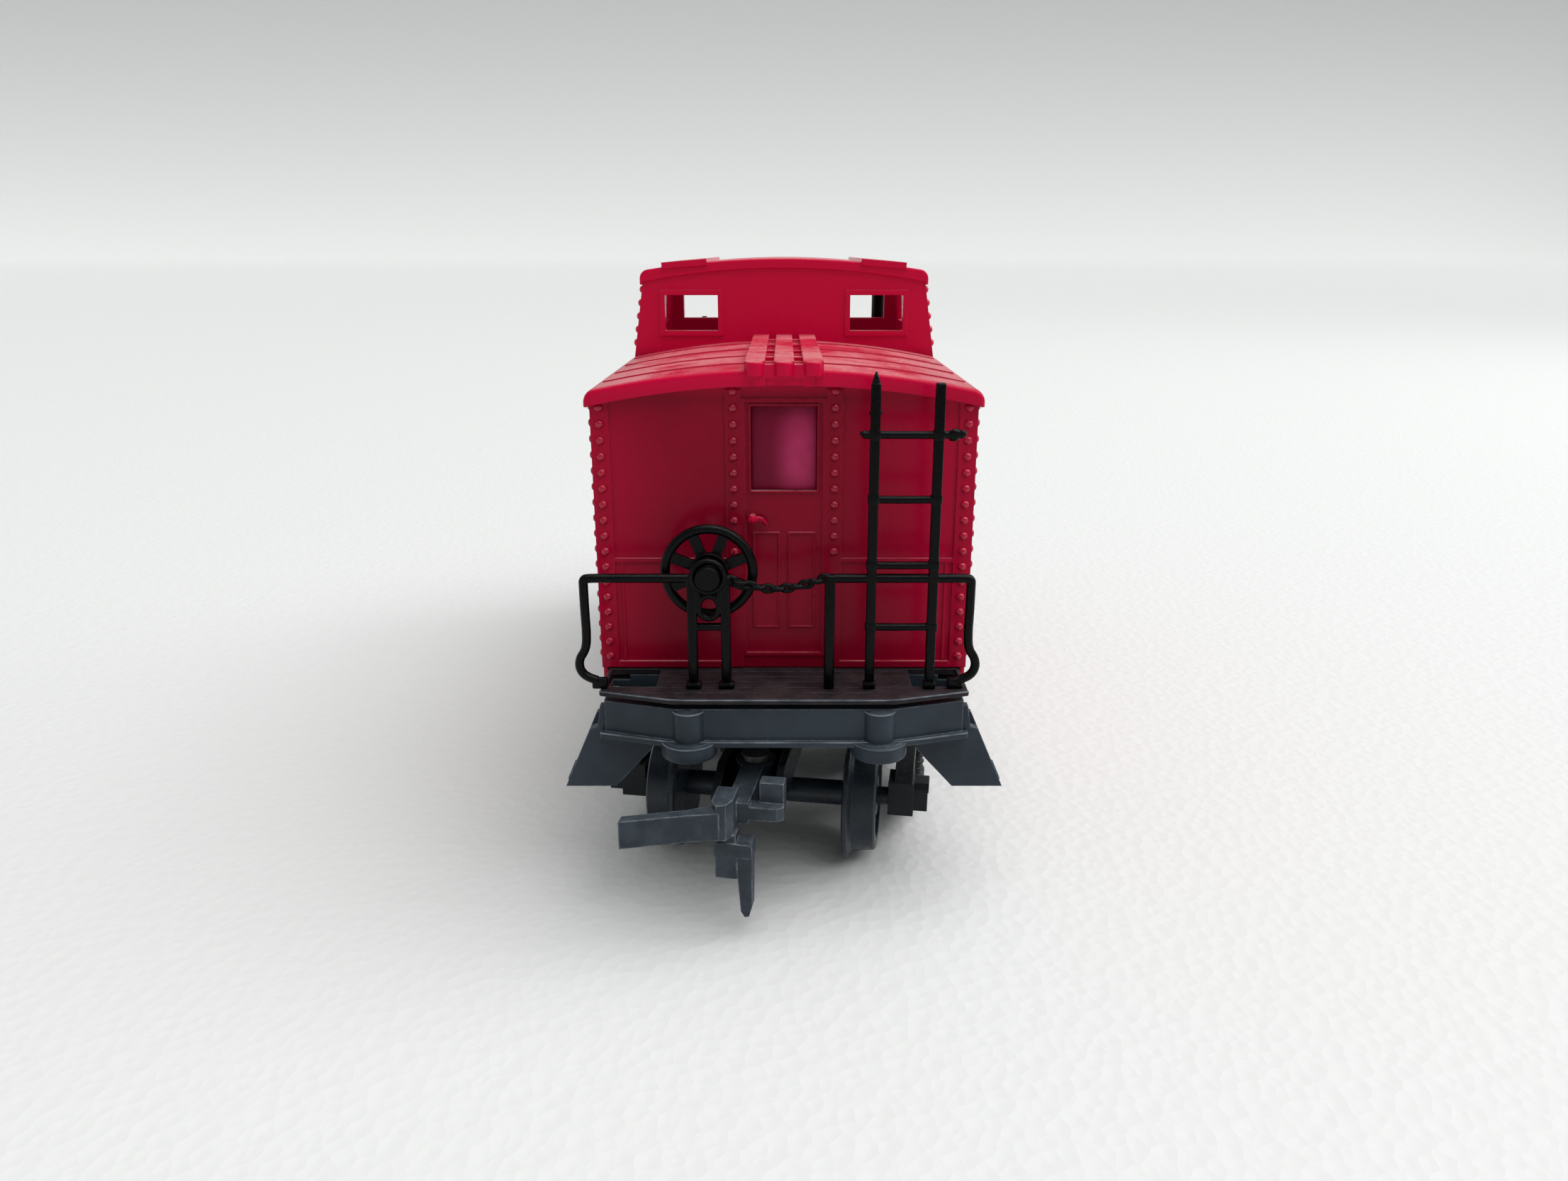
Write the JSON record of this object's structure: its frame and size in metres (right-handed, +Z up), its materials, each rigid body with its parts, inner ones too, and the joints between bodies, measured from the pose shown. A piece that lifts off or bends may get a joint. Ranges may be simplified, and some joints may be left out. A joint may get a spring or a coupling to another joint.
{
  "type": "model railway caboose",
  "caption": "HO scale caboose with a red one-piece body and cupola, railed end platforms, flared steps, swivelling trucks and truck-mounted horn-hook couplers.",
  "frame": {"origin": "on the ground under the wheel flanges, at the middle of the car", "axes": "+Z up, +Y along the car from the front end to the rear end, +X to the right seen from the front end"},
  "size_m": [0.0356, 0.1, 0.051],
  "materials": {
    "red_styrene": "moulded gloss with dust on top faces",
    "grey_plastic": "slate grey moulding, scuffed edges",
    "black_plastic": "satin black moulding",
    "deck_plastic": "black planked moulding with brown dust",
    "truck_plastic": "satin black moulding",
    "wheel_plastic": "black moulding, polished treads",
    "coupler_plastic": "dark grey acetal",
    "weight_steel": "sheet steel, dull",
    "pin_steel": "plated steel"
  },
  "bodies": {
    "car": {"ballast_weight": "weight_steel", "body_shell": "red_styrene", "front_end_railing": "black_plastic", "front_kingpin": "pin_steel", "front_left_steps": "grey_plastic", "front_platform_deck": "deck_plastic", "front_right_steps": "grey_plastic", "rear_end_railing": "black_plastic", "rear_kingpin": "pin_steel", "rear_left_steps": "grey_plastic", "rear_platform_deck": "deck_plastic", "rear_right_steps": "grey_plastic", "smokestack": "black_plastic", "underframe": "grey_plastic"},
    "front_brake_wheel": {"front_brake_wheel": "black_plastic"},
    "front_coupler": {"front_coupler": "coupler_plastic"},
    "front_truck": {"front_coupler_pin": "pin_steel", "front_truck_bolster": "truck_plastic", "front_truck_left_side_frame": "truck_plastic", "front_truck_right_side_frame": "truck_plastic"},
    "front_inner_wheelset": {"front_inner_axle": "wheel_plastic", "front_inner_left_wheel": "wheel_plastic", "front_inner_right_wheel": "wheel_plastic"},
    "front_outer_wheelset": {"front_outer_axle": "wheel_plastic", "front_outer_left_wheel": "wheel_plastic", "front_outer_right_wheel": "wheel_plastic"},
    "rear_brake_wheel": {"rear_brake_wheel": "black_plastic"},
    "rear_coupler": {"rear_coupler": "coupler_plastic"},
    "rear_truck": {"rear_coupler_pin": "pin_steel", "rear_truck_bolster": "truck_plastic", "rear_truck_left_side_frame": "truck_plastic", "rear_truck_right_side_frame": "truck_plastic"},
    "rear_inner_wheelset": {"rear_inner_axle": "wheel_plastic", "rear_inner_left_wheel": "wheel_plastic", "rear_inner_right_wheel": "wheel_plastic"},
    "rear_outer_wheelset": {"rear_outer_axle": "wheel_plastic", "rear_outer_left_wheel": "wheel_plastic", "rear_outer_right_wheel": "wheel_plastic"}
  },
  "joints": [
    {"name": "front_truck_swivel", "type": "hinge", "parent": "car", "child": "front_truck", "pos_m": [0, -0.0239, 0.013], "axis": [0, 0, 1], "range_deg": [-6, 24]},
    {"name": "front_outer_wheelset_roll", "type": "hinge", "parent": "front_truck", "child": "front_outer_wheelset", "pos_m": [-0.00149, -0.03328, 0.00565], "axis": [0.9877, -0.1564, 0], "continuous": true},
    {"name": "front_inner_wheelset_roll", "type": "hinge", "parent": "front_truck", "child": "front_inner_wheelset", "pos_m": [0.00149, -0.01452, 0.00565], "axis": [0.9877, -0.1564, 0], "continuous": true},
    {"name": "front_coupler_swing", "type": "hinge", "parent": "front_truck", "child": "front_coupler", "pos_m": [-0.00236, -0.03881, 0.0105], "axis": [0, 0, 1], "range_deg": [-8, 8]},
    {"name": "front_brake_wheel_spin", "type": "hinge", "parent": "car", "child": "front_brake_wheel", "pos_m": [-0.00585, -0.0404, 0.0279], "axis": [0, 1, 0], "continuous": true},
    {"name": "rear_truck_swivel", "type": "hinge", "parent": "car", "child": "rear_truck", "pos_m": [0, 0.0239, 0.013], "axis": [0, 0, 1], "range_deg": [-6, 24]},
    {"name": "rear_outer_wheelset_roll", "type": "hinge", "parent": "rear_truck", "child": "rear_outer_wheelset", "pos_m": [0.00149, 0.03328, 0.00565], "axis": [0.9877, -0.1564, 0], "continuous": true},
    {"name": "rear_inner_wheelset_roll", "type": "hinge", "parent": "rear_truck", "child": "rear_inner_wheelset", "pos_m": [-0.00149, 0.01452, 0.00565], "axis": [0.9877, -0.1564, 0], "continuous": true},
    {"name": "rear_coupler_swing", "type": "hinge", "parent": "rear_truck", "child": "rear_coupler", "pos_m": [0.00236, 0.03881, 0.0105], "axis": [0, 0, 1], "range_deg": [-8, 8]},
    {"name": "rear_brake_wheel_spin", "type": "hinge", "parent": "car", "child": "rear_brake_wheel", "pos_m": [0.00585, 0.0404, 0.0279], "axis": [0, 1, 0], "continuous": true}
  ]
}
